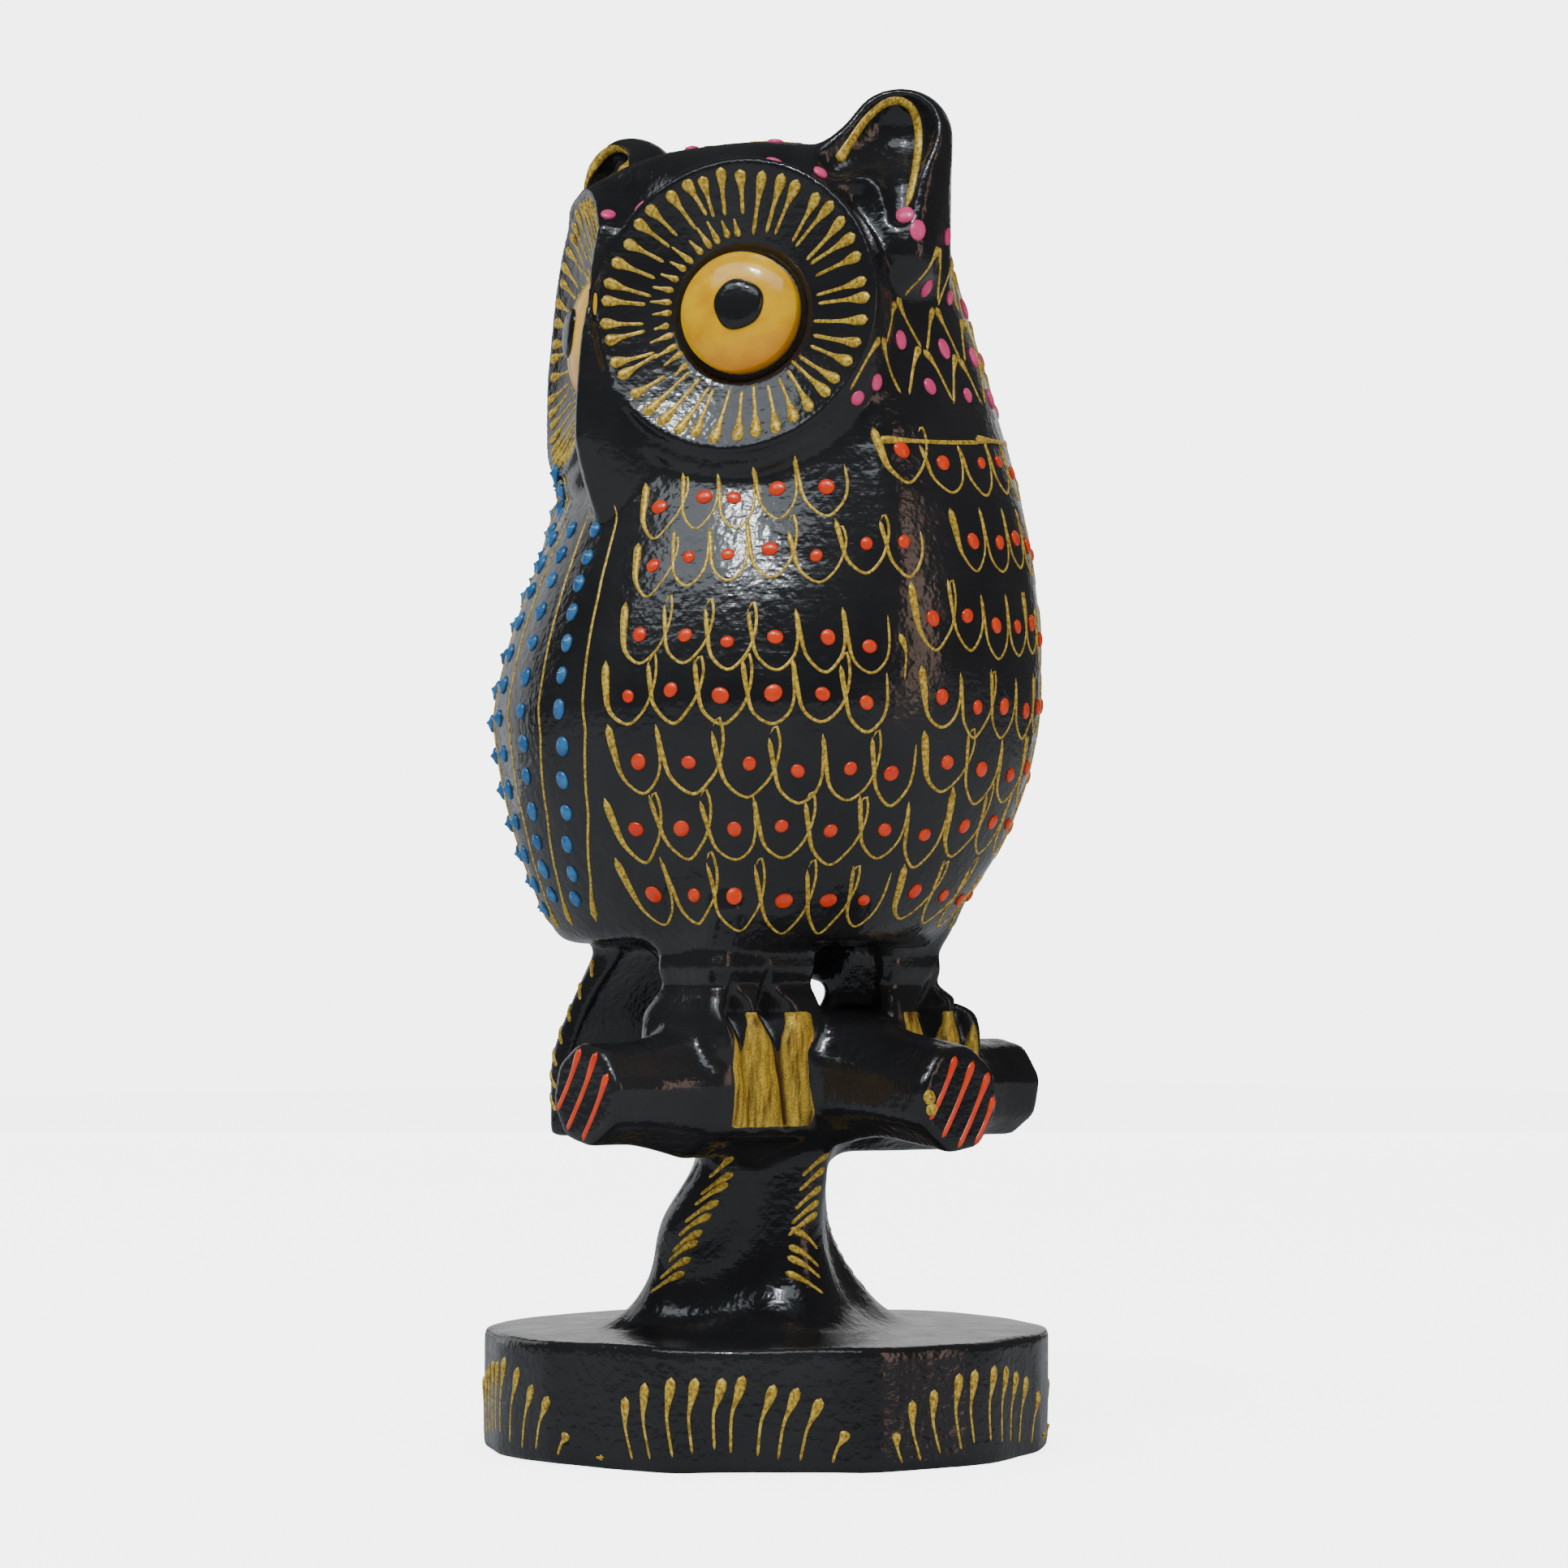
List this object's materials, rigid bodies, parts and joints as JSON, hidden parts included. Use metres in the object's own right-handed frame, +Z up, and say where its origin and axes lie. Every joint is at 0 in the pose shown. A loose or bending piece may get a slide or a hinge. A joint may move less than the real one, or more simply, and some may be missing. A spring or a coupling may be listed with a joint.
{
  "type": "carved wooden owl figurine",
  "caption": "Carved wooden owl on a branch perch over a flared trunk and a thick round base, black lacquer with raised painted strokes and dots.",
  "frame": {"origin": "middle of the underside of the round base, on the surface it stands on", "axes": "+Z up; the owl's body and the front branch face -Y, the perch runs along X, the head is turned to face -X, the tail is at +Y"},
  "size_m": [0.0644, 0.0644, 0.152],
  "materials": {
    "black_lacquer": "wood under thick glossy black lacquer, brushed on by hand",
    "gold_paint": "wood under raised pearl gold paint, satin gloss",
    "yellow_enamel": "wood under glossy yellow enamel",
    "orange_enamel": "raised glossy orange-red enamel dots",
    "pink_enamel": "raised glossy pink enamel dots",
    "blue_enamel": "raised glossy blue enamel dots"
  },
  "bodies": {
    "root": {"base": "black_lacquer", "trunk": "black_lacquer", "perch": "black_lacquer", "front_branch": "black_lacquer", "right_foot": "gold_paint", "left_foot": "gold_paint", "right_leg": "black_lacquer", "left_leg": "black_lacquer", "body": "black_lacquer", "tail": "black_lacquer", "head": "black_lacquer", "face_lip": "black_lacquer", "right_eye_disc": "black_lacquer", "left_eye_disc": "black_lacquer", "right_eye": "yellow_enamel", "left_eye": "yellow_enamel", "right_pupil": "black_lacquer", "left_pupil": "black_lacquer", "beak": "black_lacquer", "right_ear": "black_lacquer", "left_ear": "black_lacquer"}
  },
  "joints": []
}
